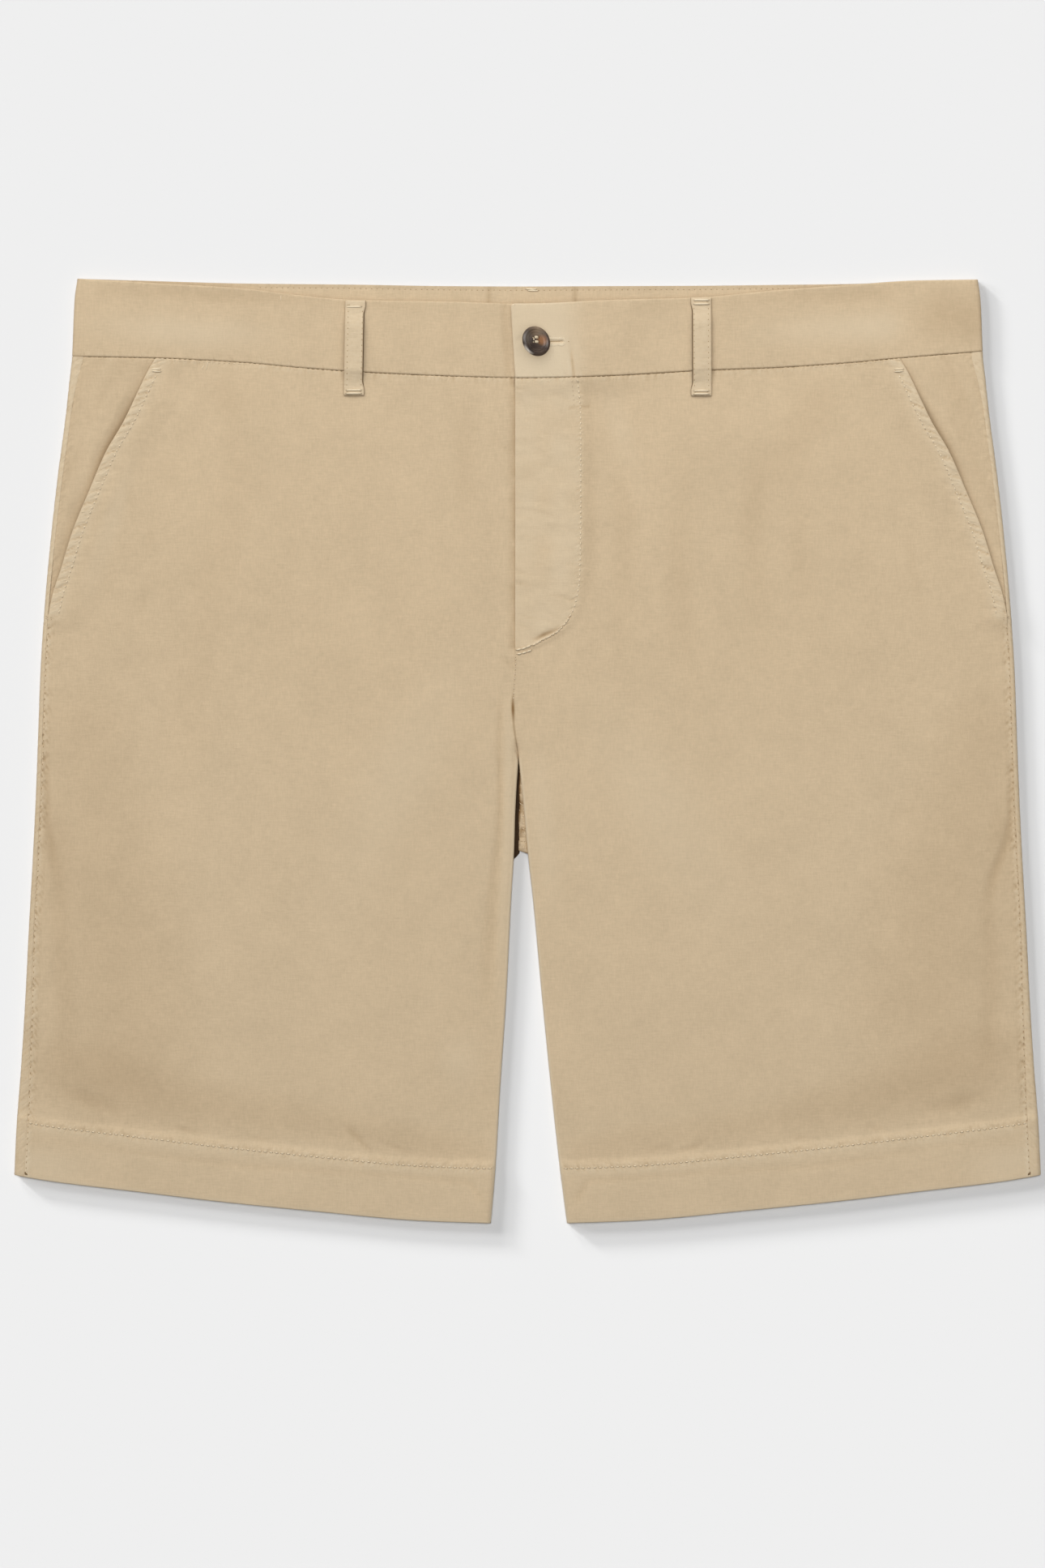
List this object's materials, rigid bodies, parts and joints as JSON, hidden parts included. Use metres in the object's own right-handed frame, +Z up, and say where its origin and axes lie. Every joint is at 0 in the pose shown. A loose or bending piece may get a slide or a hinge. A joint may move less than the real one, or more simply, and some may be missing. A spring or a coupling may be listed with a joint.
{
  "type": "bermuda shorts",
  "caption": "Flat-front cotton twill bermuda shorts laid flat, with a fastened button fly, slanted pockets, belt loops and plain stitched hems.",
  "frame": {"origin": "under the middle of the outline, on the surface that the shorts lie on", "axes": "+X towards the wearer's left side, +Y from the hems to the waistband, +Z up out of the cloth, with the garment's front facing up"},
  "size_m": [0.5698, 0.5243, 0.013],
  "materials": {
    "khaki_twill": "matte woven cotton",
    "brown_horn": "polished horn"
  },
  "bodies": {
    "root": {"front_right": "khaki_twill", "front_left": "khaki_twill", "back_right": "khaki_twill", "back_left": "khaki_twill", "pocket_facing_right": "khaki_twill", "pocket_facing_left": "khaki_twill", "waistband_right": "khaki_twill", "waistband_left": "khaki_twill", "belt_loop_right": "khaki_twill", "belt_loop_left": "khaki_twill", "button": "brown_horn"}
  },
  "joints": []
}
